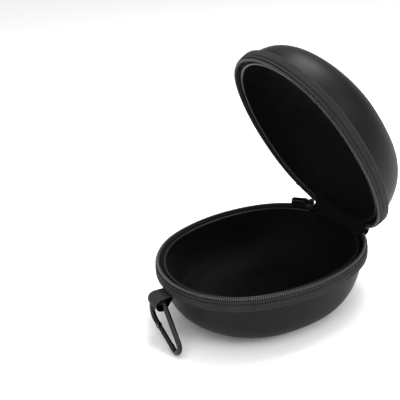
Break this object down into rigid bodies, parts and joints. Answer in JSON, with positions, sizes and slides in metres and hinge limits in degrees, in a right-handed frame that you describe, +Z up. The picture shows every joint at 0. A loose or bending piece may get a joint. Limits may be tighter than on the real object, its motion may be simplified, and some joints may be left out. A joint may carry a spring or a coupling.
{
  "type": "headphone carrying case",
  "caption": "Oval zip-up headphone case of two deep moulded bowls hinged by a fabric band, shown open, with a webbing loop and spring-gate carabiner at the nose.",
  "frame": {"origin": "centre of the flat underside of the lower bowl", "axes": "+X across the case, +Y towards the fabric hinge, +Z up; the zipper's parting plane is square to Z"},
  "size_m": [0.1654, 0.2366, 0.2346],
  "materials": {
    "outer_skin": "matte, fine grain",
    "foam": "closed-cell foam",
    "lining_cloth": "brushed knit",
    "zipper_tape": "woven",
    "zipper_coil": "satin",
    "bar_tack": "dense stitches",
    "piping": "gloss",
    "thread": "twisted",
    "webbing_black": "ribbed webbing",
    "webbing_grey": "ribbed webbing",
    "black_metal": "satin black",
    "rubber_tab": "satin",
    "carabiner_metal": "gloss black",
    "steel": "plain"
  },
  "bodies": {
    "case_base": {"base_skin": "outer_skin", "base_foam_core": "foam", "base_lining": "lining_cloth", "base_zipper_tape": "zipper_tape", "base_zipper_coil": "zipper_coil", "base_zipper_end_stops": "bar_tack", "base_inner_piping": "piping", "base_seam_thread": "thread", "hinge_band": "webbing_black", "hinge_lining": "lining_cloth"},
    "case_lid": {"lid_skin": "outer_skin", "lid_foam_core": "foam", "lid_lining": "lining_cloth", "lid_zipper_tape": "zipper_tape", "lid_zipper_coil": "zipper_coil", "lid_zipper_end_stops": "bar_tack", "lid_inner_piping": "piping", "lid_seam_thread": "thread"},
    "slider": {"slider_body": "black_metal"},
    "puller": {"puller_link": "black_metal"},
    "tab": {"pull_tab": "rubber_tab"},
    "loop": {"webbing_loop": "webbing_grey"},
    "carabiner": {"carabiner_body": "carabiner_metal", "gate_pin": "steel"},
    "gate": {"carabiner_gate": "carabiner_metal", "gate_spring": "steel"}
  },
  "joints": [
    {"name": "lid_hinge", "type": "hinge", "parent": "case_base", "child": "case_lid", "pos_m": [0, 0.091, 0.0595], "axis": [-1, 0, 0], "range_deg": [-62, 25], "deforming": ["hinge_band", "hinge_lining"]},
    {"name": "slider_travel", "type": "hinge", "parent": "case_base", "child": "slider", "pos_m": [0, 0.021, 0.0595], "axis": [0, 0, 1], "range_deg": [-3, 24]},
    {"name": "puller_swing", "type": "hinge", "parent": "slider", "child": "puller", "pos_m": [-0.05244, 0.08692, 0.05875], "axis": [0, 0, 1], "range_deg": [0, 100]},
    {"name": "tab_swing", "type": "hinge", "parent": "puller", "child": "tab", "pos_m": [-0.04409, 0.09144, 0.05875], "axis": [-0.6428, 0.766, 0], "range_deg": [-60, 12]},
    {"name": "loop_flex", "type": "hinge", "parent": "case_base", "child": "loop", "pos_m": [0, -0.0974, 0.0433], "axis": [1, 0, 0], "range_deg": [-15, 10], "stiffness_Nm_per_rad": 0.1},
    {"name": "carabiner_swing", "type": "hinge", "parent": "loop", "child": "carabiner", "pos_m": [0, -0.1074, 0.0392], "axis": [1, 0, 0], "range_deg": [-110, 18]},
    {"name": "carabiner_gate", "type": "hinge", "parent": "carabiner", "child": "gate", "pos_m": [-0.00052, -0.10902, 0.01441], "axis": [0.0814, -0.9903, 0.1129], "range_deg": [0, 22], "stiffness_Nm_per_rad": 0.05}
  ]
}
